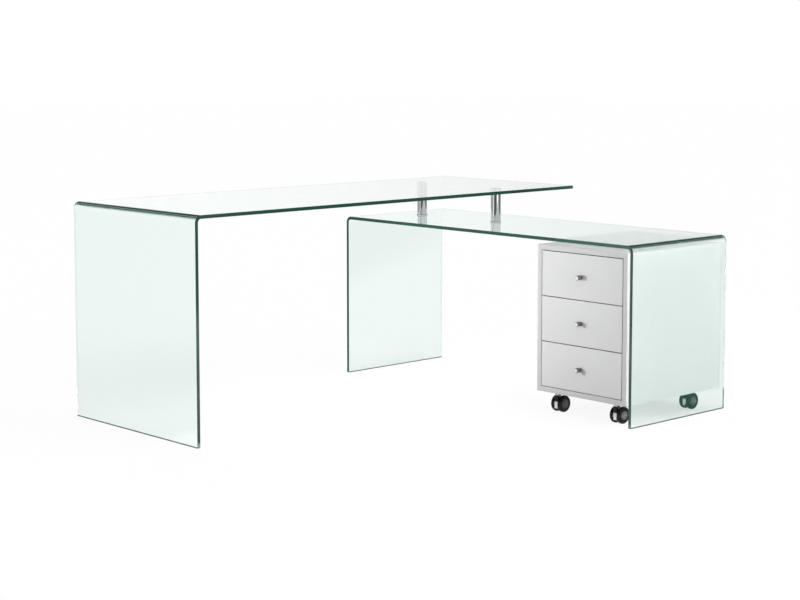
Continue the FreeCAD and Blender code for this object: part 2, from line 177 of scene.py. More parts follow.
# %% Opaque finish
def opaque(slot, name, patch, colours, gloss, grain, relief, constants, edge=(0.0, 1.0)):
    """Make a finish from two patterns, each a node kind, a size in mm, its inputs and perhaps a stretch.

    Relief is a strength and a depth in mm, and a narrow edge makes the patches sharp.
    """
    material, tree, place, out = new_finish(name)
    drawn = []
    for kind, size, inputs, *stretch in (patch, grain):
        where = add(tree, "Mapping", {"Vector": place}, {"Scale": stretch[0] if stretch else (1, 1, 1)})
        scale = {"Scale": 1 / (size * MM), **inputs}
        drawn.append(add(tree, kind, {"Vector": where.outputs[0]}, scale).outputs[0])
    drift = add(tree, "MapRange", {"Value": drawn[0]}, {"From Min": edge[0], "From Max": edge[1]}).outputs[0]
    tone = add(tree, "Mix", {"Factor": drift}, {6: linear(colours[0]), 7: linear(colours[1])},
               data_type="RGBA")
    rough = add(tree, "MapRange", {"Value": drift}, {"To Min": gloss[0], "To Max": gloss[1]})
    raised = add(tree, "Bump", {"Height": drawn[1]}, {"Strength": relief[0], "Distance": relief[1] * MM})
    shader = add(tree, "BsdfPrincipled",
                 {"Base Color": tone.outputs[2], "Roughness": rough.outputs[0], "Normal": raised.outputs[0]},
                 constants)
    tree.links.new(shader.outputs[0], out.inputs["Surface"])
    FINISH[slot] = material
    print("finish:", name)


print("recipe ready: a node tree from two patterns and two tones")

# %% [markdown]
# ## Ground feet
# The long edges of the glass are polished, but the feet that stand on the floor are left as the grinding
# wheel made them. Their dark tone is painted shade for the contact line where glass meets the floor, and
# from above it draws a thin dark line under each leg. Clear feet would vanish and leave the legs floating.


# %% Ground foot finish
# a painted dark tone that varies over 8 mm, and grinding marks 0.6 mm apart
opaque("foot_painted_contact_shade", "shade_painted_ground_edge", ("TexNoise", 8, {"Detail": 4}), ("1C2A25", "2E3B36"), (0.45, 0.7),
       ("TexNoise", 0.6, {"Detail": 2}), (0.3, 0.05), {"IOR": 1.52})

# %% [markdown]
# ## Bright chrome plate
# The posts, plates and caster bodies are steel or zinc castings with a thin chrome skin over nickel.
# Chrome is a mirror with a slight blue grey, so its look comes almost wholly from what it reflects. A rough
# silver would read as paint. The plate keeps its polish, and only fine hairline scratches from the buffing
# wheel and a breath of finger grease break the reflections up.


# %% Chrome finish
# finger grease of 14 mm; hairlines are 0.05 mm wide on the real part and drawn at 0.5 mm, so that they show
opaque("chrome", "bright_chrome_plate", ("TexNoise", 14, {"Detail": 2}), ("DBDCDE", "D4D6D9"), (0.03, 0.11),
       ("TexNoise", 0.5, {"Detail": 2}, (0.2, 0.2, 1)), (0.06, 0.02), {"Metallic": 1.0})

# %% [markdown]
# ## Polished knobs, plate painted darker
# The knobs are plated metal in a tone darker than chrome: painted shade in place of the dark reflections of
# the shaded front around them. Lathe marks draw the light into streaks along the barrel. A chrome barrel
# would be as bright as the lacquer behind it and would get lost.

# %% Knob plate finish, painted darker
# tone painted darker than chrome, as shade in the reflections; handling marks of 5 mm, lathe marks 0.4 mm
# apart
opaque("painted_dark_knob", "polished_painted_dark_knob_plate", ("TexNoise", 5, {"Detail": 3}), ("8A8B8D", "7A7B7E"), (0.1, 0.2),
       ("TexNoise", 0.4, {"Detail": 2}), (0.1, 0.02), {"Metallic": 1.0})

# %% [markdown]
# ## Satin white lacquer on fibreboard
# The pedestal is fibreboard, primed, rubbed down and sprayed with white lacquer. Sprayed lacquer shows a very
# fine orange peel in its highlights, a slow drift in gloss where one pass overlaps the next, and hardly any
# change of colour. A flat white would look like paper, and a strong bump like a textured wall, so the peel
# is kept to a few hundredths of a millimetre. The same recipe gives four tones: the fronts, the shell half a
# shade greyer than them, a white disc on the faces of the knobs, which is a painted highlight in place of
# their bright reflection, and a grey on the narrow edges of the fronts, which is painted shade, so that the
# gaps between them read as thin dark lines.


# %% Lacquer finish
# spray passes of 120 mm and orange peel in cells of 2 mm
for slot, name, colours in (("lacquer", "satin_white_lacquer", ("F2F2F2", "EEEEEF")),
                            ("shell_lacquer", "satin_white_shell_lacquer", ("E3E3E3", "DFDFE0")),
                            # the white disc on the knob faces is a painted highlight in place of their bright
                            # reflection
                            ("knob_face_painted_highlight", "white_enamel_disc", ("FCFCFC", "F8F8F8")),
                            # the grey on the narrow front edges is painted shade for the gaps between the
                            # fronts
                            ("edge_painted_gap_shade", "grey_edge_primer", ("47484A", "3E3F41"))):
    opaque(slot, name, ("TexNoise", 120, {"Detail": 2}), colours, (0.26, 0.36),
           ("TexNoise", 2, {"Detail": 1}), (0.12, 0.03), {"IOR": 1.5})

# %% [markdown]
# ## Melamine-faced board and white-faced hardboard
# The drawer boxes are chipboard with a pressed melamine face, which has a fine pearl texture from the steel
# press plate. The drawer bases and the back are thin hardboard with a printed white face, duller and with
# faint fibres under the paint. Both could share one recipe, but pearl is round and fibre is long, and the
# difference shows as soon as a drawer is pulled out.


# %% Board finishes
# pearls of 0.9 mm from the press plate, under cloud of 60 mm
opaque("drawer_board", "pressed_white_melamine", ("TexNoise", 60, {"Detail": 3}), ("EFEFED", "E8E8E6"),
       (0.4, 0.5), ("TexVoronoi", 0.9, {}), (0.25, 0.03), {"IOR": 1.5})
# fibres about 6 mm long and 0.6 mm wide, lying mostly along X
fibres = ("TexNoise", 0.6, {"Detail": 4}, (0.1, 1, 1))
opaque("back_board", "white_faced_hardboard", fibres, ("E9E8E5", "F0F0EE"), (0.5, 0.62), fibres,
       (0.2, 0.04), {"IOR": 1.5})

# %% [markdown]
# ## Beech, zinc-plated steel and bright turned steel
# These three are seen only inside or underneath. The dowels are raw beech, a pink straw wood with short dark
# flecks. The drawer runners are rolled steel with a zinc skin, which is dull, faintly clouded and drawn
# along its length. The stems, axles and screws are bright steel from a lathe, with a tight ring of tool
# marks. Each could be left out of sight, but an open drawer or a look from below finds them.


# %% Hidden finishes
def beech():
    material, tree, place, out = new_finish("raw_beech")
    # growth rings 2.5 mm apart, drawn out along the dowel, with flecks 0.4 mm wide
    grain = add(tree, "Mapping", {"Vector": place}, {"Scale": (1, 1, 0.06)})
    rings = add(tree, "TexNoise", {"Vector": grain.outputs[0]}, {"Scale": 1 / (2.5 * MM), "Detail": 5})
    flecks = add(tree, "TexNoise", {"Vector": grain.outputs[0]}, {"Scale": 1 / (0.4 * MM), "Detail": 1})
    wood = add(tree, "Mix", {"Factor": rings.outputs["Fac"]}, {6: linear("D9B88C"), 7: linear("BF9564")},
               data_type="RGBA")
    dark = add(tree, "MapRange", {"Value": flecks.outputs["Fac"]}, {"From Min": 0.6, "From Max": 0.75})
    tone = add(tree, "Mix", {"Factor": dark.outputs[0], 6: wood.outputs[2]}, {7: linear("8E6540")},
               data_type="RGBA")
    pores = add(tree, "Bump", {"Height": flecks.outputs["Fac"]}, {"Strength": 0.3, "Distance": 0.05 * MM})
    shader = add(tree, "BsdfPrincipled", {"Base Color": tone.outputs[2], "Normal": pores.outputs[0]},
                 {"Roughness": 0.6, "IOR": 1.5})
    tree.links.new(shader.outputs[0], out.inputs["Surface"])
    return material


FINISH["beech"] = beech()
print("finish:", FINISH["beech"].name)
# clouded zinc of 9 mm, with drawing marks 0.6 mm apart along Y
opaque("zinc_steel", "zinc_plated_steel", ("TexNoise", 9, {"Detail": 3}), ("B4B8BA", "C6C4B8"), (0.3, 0.45),
       ("TexNoise", 0.6, {"Detail": 2}, (1, 0.02, 1)), (0.3, 0.03), {"Metallic": 1.0})
# a film of oil, with tool marks 0.4 mm apart up the axis and the same all round it
opaque("bright_steel", "bright_turned_steel", ("TexNoise", 5, {"Detail": 2}), ("C2C1BE", "ADACA9"),
       (0.2, 0.34), ("TexNoise", 0.4, {"Detail": 2}, (0.02, 0.02, 1)), (0.25, 0.03), {"Metallic": 1.0})

# %% [markdown]
# ## Moulded nylon wheels and grey caps
# The wheels are black nylon from a spark-eroded mould, so their skin has a fine leather grain. Where they
# roll, the black scuffs to grey and dulls. The hub caps are grey plastic from a smoother mould. A wheel
# painted pure black would lose its shape, so the black is lifted a little and the wear does the rest.


# %% Plastic finishes
# scuffs are patches of 4 mm with fine edges, over a leather grain of 0.7 mm
opaque("wheel_nylon", "moulded_black_nylon", ("TexNoise", 4, {"Detail": 6, "Roughness": 0.65}),
       ("070708", "161617"), (0.3, 0.55), ("TexVoronoi", 0.7, {}), (0.35, 0.04),
       {"IOR": 1.53, "Specular IOR Level": 0.25}, edge=(0.52, 0.72))
# flow marks of 7 mm, over a grain of 0.5 mm
opaque("cap_plastic", "moulded_grey_cap", ("TexNoise", 7, {"Detail": 4}), ("5C5D5F", "6C6D6F"), (0.34, 0.46),
       ("TexVoronoi", 0.5, {}), (0.2, 0.02), {"IOR": 1.5})
for row in frame["record"]["subparts"]:
    node = frame["nodes"][row["node"]]
    node.data.materials.clear()
    node.data.materials.append(FINISH[row["material_slot"]])

# %% [markdown]
# ## Modelling helpers
# Every new piece starts as a primitive and is worked in edit mode. An operator acts on whatever is selected,
# so the helpers first let go of everything and then pick faces or edges by where they lie. A turned part is
# made like the real one on a lathe: a circle is drawn out along its axis and widened or narrowed at each
# step. Spinning a profile would do as well, but it needs a loose outline first and leaves a seam to merge.


# %% Selecting and bevelling
def rest():
    """Leave edit mode with nothing selected."""
    if bpy.context.mode != "OBJECT":
        bpy.ops.object.mode_set(mode="OBJECT")
    bpy.ops.object.select_all(action="DESELECT")


def pick(*objects):
    """Select only these objects, the first of them active."""
    rest()
    for obj in objects:
        obj.select_set(True)
    bpy.context.view_layer.objects.active = objects[0]


def choose(obj, faces=None, edges=None):
    """Enter edit mode with only the faces or edges for which the test is true selected."""
    pick(obj)
    bpy.ops.object.mode_set(mode="EDIT")
    bpy.ops.mesh.select_mode(type="FACE" if faces else "EDGE")
    bpy.ops.mesh.select_all(action="DESELECT")
    mesh = bmesh.from_edit_mesh(obj.data)
    chosen = [f for f in mesh.faces if faces(f)] if faces else [e for e in mesh.edges if edges(e)]
    for part in chosen:
        part.select_set(True)
    mesh.select_flush_mode()
    bmesh.update_edit_mesh(obj.data)
    return len(chosen)


def near(a, b):
    return abs(a - b) < 1e-5


def along(edge, axis):
    """True where an edge runs along an axis, 0, 1 or 2."""
    run = (edge.verts[1].co - edge.verts[0].co).normalized()
    return abs(run[axis]) > 0.999


def middle(edge):
    return (edge.verts[0].co + edge.verts[1].co) / 2


def sharp(edge, degrees=50):
    return len(edge.link_faces) == 2 and edge.calc_face_angle() > math.radians(degrees)


def bevel(width, segments):
    """Round the selected edges of the object in edit mode, then leave edit mode."""
    bpy.ops.mesh.bevel(offset=width, offset_type="OFFSET", segments=segments, affect="EDGES",
                       clamp_overlap=False)
    rest()


print("selecting by a test on faces or edges is ready")


# %% Making and joining pieces
def settle(obj, where=(0, 0, 0), turn=(0, 0, 0)):
    """Turn and move an object, and put its place into its mesh."""
    pick(obj)
    obj.rotation_euler = turn
    obj.location = where
    bpy.ops.object.transform_apply(location=True, rotation=True, scale=True)
    return obj


def block(name, low, high):
    """A board between two corners."""
    rest()
    low, high = Vector(low), Vector(high)
    bpy.ops.mesh.primitive_cube_add(size=1, location=(low + high) / 2, scale=high - low)
    obj = bpy.context.object
    obj.name = obj.data.name = name
    bpy.ops.object.transform_apply(location=True, rotation=True, scale=True)
    return obj


def turned(name, profile, sides=64, bored=False):
    """A part turned round Z. The profile lists (radius, height) pairs; a bored one closes on itself."""
    rest()
    radius, height = profile[0]
    bpy.ops.mesh.primitive_circle_add(vertices=sides, radius=radius)
    obj = bpy.context.object
    obj.name = obj.data.name = name
    settle(obj, (0, 0, height))
    choose(obj, edges=lambda e: True)
    for wider, higher in profile[1:]:
        bpy.ops.mesh.extrude_region_move(TRANSFORM_OT_translate={"value": (0, 0, higher - height)})
        grown = wider / radius
        bpy.ops.transform.resize(value=(grown, grown, 1), center_override=(0, 0, higher))
        radius, height = wider, higher
    choose(obj, edges=lambda e: len(e.link_faces) == 1)
    if bored:
        bpy.ops.mesh.bridge_edge_loops()
    else:
        bpy.ops.mesh.select_all(action="SELECT")
        bpy.ops.mesh.fill_holes(sides=0)
    bpy.ops.mesh.select_all(action="SELECT")
    bpy.ops.mesh.normals_make_consistent(inside=False)
    rest()
    return obj


def in_metres(profile):
    """A lathe profile in metres, from one in millimetres."""
    return [(radius * MM, height * MM) for radius, height in profile]


def copy_of(obj, name, move=(0, 0, 0), turn=(0, 0, 0)):
    """A copy with its own mesh, turned round the origin and then moved."""
    pick(obj)
    bpy.ops.object.duplicate(linked=False)
    made = bpy.context.object
    made.name = made.data.name = name
    return settle(made, move, turn)


def joined(name, *pieces):
    """Several loose pieces of one part as a single object."""
    pick(*pieces)
    if len(pieces) > 1:
        bpy.ops.object.join()
    obj = bpy.context.object
    obj.name = obj.data.name = name
    return obj


def worked(obj, other, operation):
    """Add or take away another piece with a Boolean modifier, and apply it."""
    pick(obj)
    tool = obj.modifiers.new("tool", "BOOLEAN")
    tool.operation = operation
    tool.solver = "EXACT"
    tool.object = other
    bpy.ops.object.modifier_apply(modifier=tool.name)
    bpy.data.objects.remove(other)
    return obj


print("blocks, turned parts, copies and Booleans are ready")


# %% Finishing a piece
def faced(obj, finish, test):
    """Give the faces for which the test is true a second finish."""
    obj.data.materials.append(FINISH[finish])
    count = choose(obj, faces=test)
    obj.active_material_index = len(obj.data.materials) - 1
    bpy.ops.object.material_slot_assign()
    rest()
    return count


def dress(obj, body, slot, *nodes, finish=None):
    """Finish a piece: smooth shading, the finish of its slot or the one given, its body, and the parts it
    stands for hidden.
    """
    pick(obj)
    bpy.ops.object.shade_smooth_by_angle(angle=math.radians(30))
    obj.data.materials.clear()
    obj.data.materials.append(FINISH[finish or slot])
    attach(obj, body)
    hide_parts(*nodes)
    return obj


print("finishes to choose from:", len(FINISH))

# %% [markdown]
# ## The bent glass
# Each sheet starts as a flat plate. A strip as wide as the glass is thick is marked off at the end, pulled
# down to the floor as a leg, and the fold is then rounded inside and outside by radii that differ by the
# thickness, so the glass keeps its 12 mm all the way round. That is how a kiln bend looks, and a curve
# modifier would thin the sheet at the fold. The free corners get 3 mm, and every edge a flat polished
# arris of 0.6 mm, which gives the fine bright lines beside the dark edge. The feet are ground for their last
# 2 mm and have a dark finish there, painted shade where they meet the floor.

# %% Bent glass sheets
GLASS = 12 * MM
FOLD = 12 * MM
CORNER = 3 * MM
ARRIS = 0.6 * MM
FOOT = 2 * MM


def folded_sheet(name, low, high, axis, legs):
    """A flat sheet with a leg at its low end along an axis, and with two legs at its high end as well."""
    obj = block(name, (low.x, low.y, high.z - GLASS), high)
    folds = [low[axis] + GLASS, high[axis] - GLASS][:legs]
    outer = [low[axis], high[axis]][:legs]
    for cut in folds:
        choose(obj, faces=lambda f: True)
        place, normal = Vector(), Vector()
        place[axis], normal[axis] = cut, 1
        bpy.ops.mesh.bisect(plane_co=place, plane_no=normal)

    def over_leg(face):
        spot = face.calc_center_median()[axis]
        return face.normal.z < -0.9 and (spot < folds[0] or (legs == 2 and spot > folds[1]))

    choose(obj, faces=over_leg)
    bpy.ops.mesh.extrude_region_move(TRANSFORM_OT_translate={"value": (0, 0, low.z + GLASS - high.z)})
    bpy.ops.mesh.select_all(action="SELECT")
    bpy.ops.mesh.dissolve_limited(angle_limit=math.radians(1))

    def fold_line(edge, spots, height):
        spot = middle(edge)
        return along(edge, 1 - axis) and near(spot.z, height) and any(near(spot[axis], s) for s in spots)

    choose(obj, edges=lambda e: fold_line(e, outer, high.z))
    bevel(GLASS + FOLD, 16)
    choose(obj, edges=lambda e: fold_line(e, folds, high.z - GLASS))
    bevel(FOLD, 16)

    def free_corner(edge):
        if edge.calc_length() > GLASS * 1.01:
            return False
        foot = along(edge, axis) and near(middle(edge).z, low.z)
        end = along(edge, 2) and legs == 1 and near(middle(edge)[axis], high[axis])
        return foot or end

    choose(obj, edges=free_corner)
    bevel(CORNER, 4)
    choose(obj, edges=lambda e: sharp(e, 60))
    bevel(ARRIS, 1)
    choose(obj, faces=lambda f: True)
    bpy.ops.mesh.bisect(plane_co=(0, 0, low.z + FOOT), plane_no=(0, 0, 1))
    return obj


for name, node, axis, legs in (("main_top_glass", "main_glass", 1, 1),
                               ("return_top_glass", "return_glass", 0, 2)):
    sheet = dress(folded_sheet(name, *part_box(node), axis, legs), "desk", "bent_glass", node)
    # the feet get a dark finish: painted shade where the glass meets the floor
    shade_painted = faced(sheet, "foot_painted_contact_shade", lambda f: f.calc_center_median().z < FOOT)
    print(name, [round(d / MM) for d in sheet.dimensions], "mm with", shade_painted, "sealed foot faces")

# %% [markdown]
# ## The two posts
# A post is a chromed tube closed by a tapped plug at each end, and it screws onto the studs of two discs that
# are bonded to the glass. The lower disc is wider, so it shows as a ring. All three are turned parts, and
# the lathe leaves a small chamfer on each rim, which catches a bright line. Drawing the tube hollow costs
# six more steps in the profile and keeps its weight and its ends honest.

# %% Posts
RIM = 0.6 * MM
TUBE_WALL = 2 * MM
PLUG = 8 * MM
STUD = 4 * MM
STUD_REACH = 7 * MM


def post_tube(name, radius, foot, top):
    """A tube with a plug in each end, drilled for the studs."""
    bore = radius - TUBE_WALL
    profile = [(radius - RIM, foot), (radius, foot + RIM), (radius, top - RIM), (radius - RIM, top),
               (STUD, top), (STUD, top - PLUG), (bore, top - PLUG), (bore, foot + PLUG),
               (STUD, foot + PLUG), (STUD, foot)]
    return turned(name, profile, 96, bored=True)


def post_plate(name, radius, thick):
    """A bonding disc lying on z = 0 with its stud upwards."""
    profile = [(radius - RIM, 0), (radius, RIM), (radius, thick - RIM), (radius - RIM, thick), (STUD, thick),
               (STUD, thick + STUD_REACH)]
    return turned(name, profile, 96)


low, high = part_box("post_base_plates")
top_low, top_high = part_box("post_top_plates")
centres = []
for name in ("post_back_tube", "post_user_tube"):
    tube_low, tube_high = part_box(name)
    centres.append(((tube_low.x + tube_high.x) / 2, (tube_low.y + tube_high.y) / 2))
    tube = post_tube("chrome_" + name, (tube_high.x - tube_low.x) / 2, tube_low.z, tube_high.z)
    dress(settle(tube, (*centres[-1], 0)), "desk", "chrome", name)
plate = high.z - low.z - STUD_REACH
base_radius = (high.y - low.y) / 2
top_radius = (top_high.y - top_low.y) / 2
base_discs = [settle(post_plate("disc", base_radius, plate), (x, y, low.z)) for x, y in centres]
turned_over = (math.pi, 0, 0)
top_discs = [settle(post_plate("disc", top_radius, plate), (x, y, top_high.z), turned_over)
             for x, y in centres]
dress(joined("post_base_discs", *base_discs), "desk", "chrome", "post_base_plates")
dress(joined("post_top_discs", *top_discs), "desk", "chrome", "post_top_plates")
print("posts", round((tube_high.z - tube_low.z) / MM), "mm tall, plates", round(plate / MM, 1), "mm thick")

# %% [markdown]
# ## The pedestal shell
# The four boards are doweled and glued, and the shell is then filled, rubbed down and sprayed in one go, so
# that no joint shows. It is therefore modelled as one open box: the front and back faces are inset by
# the board thickness and bridged through. Four separate boards would meet in hairlines that lacquer hides.
# All outer and inner edges are broken by 0.8 mm, because paint runs off a truly sharp edge.

# %% Pedestal shell
BOARD = 18 * MM
SOFT = 0.8 * MM

low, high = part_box("carcass_bottom")
shell = block("lacquered_shell", low, (high.x, high.y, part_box("carcass_top")[1].z))
choose(shell, faces=lambda f: abs(f.normal.y) > 0.9)
bpy.ops.mesh.inset(thickness=BOARD, use_boundary=True)
choose(shell, faces=lambda f: abs(f.normal.y) > 0.9 and min(v.co.x for v in f.verts) > low.x + 0.5 * BOARD
       and f.calc_area() > 0.1)
bpy.ops.mesh.bridge_edge_loops()
bpy.ops.mesh.select_all(action="SELECT")
bpy.ops.mesh.normals_make_consistent(inside=False)
broken = choose(shell, edges=lambda e: sharp(e) and (
    not along(e, 1) or near(abs(middle(e).x - (low.x + high.x) / 2), (high.x - low.x) / 2)))
bevel(SOFT, 3)
dress(shell, "pedestal", "lacquer", "carcass_bottom", "carcass_top", "carcass_left_side",
      "carcass_right_side", finish="shell_lacquer")
print("shell", [round(d / MM) for d in shell.dimensions], "mm with", broken, "edges broken")

# %% [markdown]
# ## Drawer fronts and boxes
# A front is one lacquered board with a 1 mm radius round its face. The box behind it is 12 mm melamine board:
# two sides and a back that stand on edge, with the hardboard base let into grooves near the bottom. The
# upper edges have a thin edging that is trimmed to a small round. The box could be one extruded tray, but
# the butt joints at the back corners are what an open drawer shows.

# %% Drawer boxes
WALL = 12 * MM
FACE_ROUND = 1 * MM
BACK_ROUND = 0.5 * MM
EDGING = 0.6 * MM


def softened(obj, width, segments, test):
    """Round the sharp edges for which the test is true."""
    choose(obj, edges=lambda e: sharp(e) and test(e))
    bevel(width, segments)
    return obj


for name in DRAWERS:
    body = name + "_drawer"
    low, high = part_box(body + "_front")
    front = block(name + "_front_board", low, high)
    softened(front, FACE_ROUND, 4, lambda e: middle(e).y < low.y + FACE_ROUND)
    softened(front, BACK_ROUND, 2, lambda e: middle(e).y > high.y - BACK_ROUND)
    dress(front, body, "lacquer", body + "_front")
    # painted shade: the narrow edges of the front are grey, so that the gaps read as dark lines
    faced(front, "edge_painted_gap_shade", lambda f: abs(f.normal.y) < 0.05)
    low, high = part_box(body + "_sides")
    left = block("left", low, (low.x + WALL, high.y, high.z))
    right = block("right", (high.x - WALL, low.y, low.z), high)
    sides = joined(name + "_box_sides", left, right)
    softened(sides, EDGING, 2, lambda e: along(e, 1) or (along(e, 0) and middle(e).y > high.y - WALL))
    dress(sides, body, "drawer_board", body + "_sides")
    low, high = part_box(body + "_back")
    back = softened(block(name + "_box_back", low, high), EDGING, 2, lambda e: along(e, 0))
    dress(back, body, "drawer_board", body + "_back")
print("drawer boxes", [round(d / MM) for d in sides.dimensions], "mm inside a front",
      [round(d / MM) for d in front.dimensions], "mm")

# %% [markdown]
# ## Turned knobs and their screws
# A knob is a plain zinc barrel: a short waist that meets the front, an undercut, and a long head with rolled
# rims, whose face is dished very slightly and carries a white disc, a painted highlight in place of its
# bright reflection. It is turned upright and then laid over, so that its axis points out of the drawer. The
# screw that pulls it on has a pan head with a cross recess, cut with two small blocks, since an empty disc
# would read as a rivet.

# %% Knobs and screws
HEAD = 21 * MM
# the waist is narrower than the head by this on the radius, in millimetres like the profile
WAIST_STEP = 2

low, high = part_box("upper_drawer_knob")
head = (high.x - low.x) / 2 / MM
length = (high.y - low.y) / MM
neck = length - HEAD / MM
waist = head - WAIST_STEP
barrel = [(waist - 0.4, 0), (waist, 0.4), (waist, neck - 1.2), (waist + 0.4, neck - 0.4), (waist + 1.0, neck),
          (head - 0.4, neck + 0.1), (head - 0.1, neck + 0.4), (head, neck + 1.0)]
face = [(head, length - 1.4), (head - 0.2, length - 0.7), (head - 0.6, length - 0.2), (head - 1.2, length),
        (head - 2.2, length - 0.1), (head - 5, length - 0.2)]
knob = turned("knob", in_metres(barrel + face), 72)
screw = turned("screw", in_metres([(4.1, 0), (4.5, 0.4), (4.4, 1.4), (3.8, 2.2), (2.6, 2.6)]), 48)
for long, wide in ((2.6, 0.45), (0.45, 2.6)):
    recess = block("recess", (-long * MM, -wide * MM, 1.2 * MM), (long * MM, wide * MM, 3 * MM))
    worked(screw, recess, "DIFFERENCE")
for name in DRAWERS:
    body = name + "_drawer"
    low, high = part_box(body + "_knob")
    x, z = (low.x + high.x) / 2, (low.z + high.z) / 2
    made = copy_of(knob, name + "_turned_knob", (x, high.y, z), (math.pi / 2, 0, 0))
    # the knob plate is painted darker than chrome, as shade in its reflections
    dress(made, body, "chrome", body + "_knob", finish="painted_dark_knob")
    # painted highlight: a white disc on the face stands in for its bright reflection
    faced(made, "knob_face_painted_highlight", lambda f: f.normal.y < -0.95 and f.calc_center_median().y < low.y + 1 * MM)
    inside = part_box(body + "_front")[1].y
    made = copy_of(screw, name + "_pan_screw", (x, inside, z), (-math.pi / 2, 0, 0))
    dress(made, body, "bright_steel", body + "_knob_screw")
bpy.data.objects.remove(knob)
print("knobs", round(2 * head), "mm across and", round(length), "mm long, at", len(DRAWERS), "drawers")

# %% [markdown]
# ## Drawer runners
# Each drawer slides on two steel channels a side, one on the carcass wall and one on the box, with the
# flanges of the inner one running inside the outer. A channel is roll-formed from strip, so its outer bends
# are round and its thickness even. The web is a thin block, and two strips of its inner face are pulled out
# into flanges. Pan screws hold each web. Solid bars would do while the drawer is shut, but not once it
# is out.

# %% Runners
STRIP = 1.5 * MM
SCREW_INSET = 40 * MM
BEND = 1.3 * MM
DEBURR = 0.3 * MM


def channel(name, low, high, way):
    """A roll-formed channel between two corners, open towards way along X."""
    web, tip = (low.x, high.x) if way > 0 else (high.x, low.x)
    inside = web + way * STRIP
    obj = block(name, (min(web, inside), low.y, low.z), (max(web, inside), high.y, high.z))
    choose(obj, edges=lambda e: True)
    for level in (low.z + STRIP, high.z - STRIP):
        bpy.ops.mesh.select_all(action="SELECT")
        bpy.ops.mesh.bisect(plane_co=(0, 0, level), plane_no=(0, 0, 1))
    reach = (high.z - low.z) / 2 - STRIP
    centre = (high.z + low.z) / 2
    choose(obj, faces=lambda f: f.normal.x * way > 0.9 and abs(f.calc_center_median().z - centre) > reach)
    bpy.ops.mesh.extrude_region_move(TRANSFORM_OT_translate={"value": (tip - inside, 0, 0)})
    choose(obj, edges=lambda e: along(e, 1) and sharp(e) and near(middle(e).x, web))
    bevel(BEND, 4)
    choose(obj, edges=lambda e: along(e, 1) and sharp(e))
    bevel(DEBURR, 2)
    return obj


def both_sides(name, low, high, flange, way):
    """The left and right channels of one box, the left one open towards way, and their screws."""
    bars, screws = [], []
    for left, right, side in ((low.x, low.x + flange, way), (high.x - flange, high.x, -way)):
        bars.append(channel(name, Vector((left, low.y, low.z)), Vector((right, high.y, high.z)), side))
        web = (left if side > 0 else right) + side * STRIP
        for y in (low.y + SCREW_INSET, high.y - SCREW_INSET):
            screws.append(copy_of(screw, name, (web, y, (low.z + high.z) / 2), (0, side * math.pi / 2, 0)))
    return bars, screws


outer_low, outer_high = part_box("carcass_runners")
low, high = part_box("upper_drawer_runners")
half = outer_high.z - (low.z + high.z) / 2
fixed, fastened = [], []
for name in DRAWERS:
    body = name + "_drawer"
    low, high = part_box(body + "_runners")
    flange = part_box(body + "_sides")[0].x - low.x
    bars, screws = both_sides(name, low, high, flange, -1)
    dress(joined(body + "_channels", *bars), body, "zinc_steel", body + "_runners")
    dress(joined(body + "_channel_screws", *screws), body, "bright_steel")
    centre = (low.z + high.z) / 2
    bars, screws = both_sides(name, Vector((outer_low.x, outer_low.y, centre - half)),
                              Vector((outer_high.x, outer_high.y, centre + half)), flange, 1)
    fixed += bars
    fastened += screws
dress(joined("carcass_channels", *fixed), "pedestal", "zinc_steel", "carcass_runners")
dress(joined("carcass_channel_screws", *fastened), "pedestal", "bright_steel")
bpy.data.objects.remove(screw)
print("channels", round(2 * half / MM), "mm tall with flanges of", round(flange / MM, 1), "mm")

# %% [markdown]
# ## Casters
# A caster is a chromed body with a wheel on each side of it. The stem screws into the bottom board and ends
# in a pivot inside the body, whose axle lies 20 mm behind it, so the wheels trail. The body is a disc
# between the wheels joined to an upright boss, one Boolean union of two turned parts. The wheels and caps
# are turned once and copied, because one mould makes all eight.

# %% Caster parts
# in millimetres, as are the profiles
BORE = 3.05
ROUND = 5

first = CASTERS[0] + "_caster"
low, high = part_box(first + "_left_wheel")
wheel_radius = (high.z - low.z) / 2
wheel_width = high.x - low.x
axle_z = (high.z + low.z) / 2
cap_low, cap_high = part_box(first + "_left_hub_cap")
cap_radius = (cap_high.z - cap_low.z) / 2
r, w, c = wheel_radius / MM, wheel_width / MM, cap_radius / MM
tread = [(BORE, 0), (r - 1.5, 0), (r - 0.45, 0.45), (r, 1.5), (r, 3.6), (r - 0.35, 3.8), (r - 0.35, 4.2),
         (r, 4.4), (r, 5.6), (r - 0.35, 5.8), (r - 0.35, 6.2), (r, 6.4)]
turns = [math.radians(a) for a in range(0, 91, 15)]
shoulder = [(r - ROUND + ROUND * math.cos(a), w - ROUND + ROUND * math.sin(a)) for a in turns]
hub = [(c + 0.4, w), (c + 0.1, w - 0.3), (c + 0.1, w - 3), (BORE, w - 3)]
wheel = turned("wheel", in_metres(tread + shoulder + hub), 96, bored=True)
dome = [(c - 0.4, 0), (c - 0.1, 0.3), (c - 0.1, 2.6), (c - 0.5, 3.0), (c - 2.2, 3.35), (c - 2.5, 3.1),
        (c - 3.0, 3.1), (c - 3.3, 3.55), (c - 6, 4.0), (c - 9, 4.3), (c - 12, 4.45), (c - 14.2, 4.5)]
cap = turned("cap", in_metres(dome), 72)
print("wheel", round(2 * r), "mm with", len(wheel.data.polygons), "faces, cap", round(2 * c), "mm")

# %% [markdown]
# The body is drawn once about its own stem axis and then set under each stem. A chromed hood covers the gap
# between the wheels: a disc 20 mm behind the stem with a rounded nose in front, cut off level near the floor.
# The moulded body under it is black and shows as a neck round the stem and as a core below the hood. Chrome
# all over would be simpler, but makers plate only the shell that meets the eye.

# %% Caster bodies, stems and wheels
HOOD_FOOT = 15 * MM
HOOD_TOP = 40 * MM
RIM_ROUND = 1.2 * MM
SINK = 0.3 * RIM_ROUND
# radii of the stem, in millimetres like its profile
STEM = 5
COLLAR = 8
FLANGE = 13


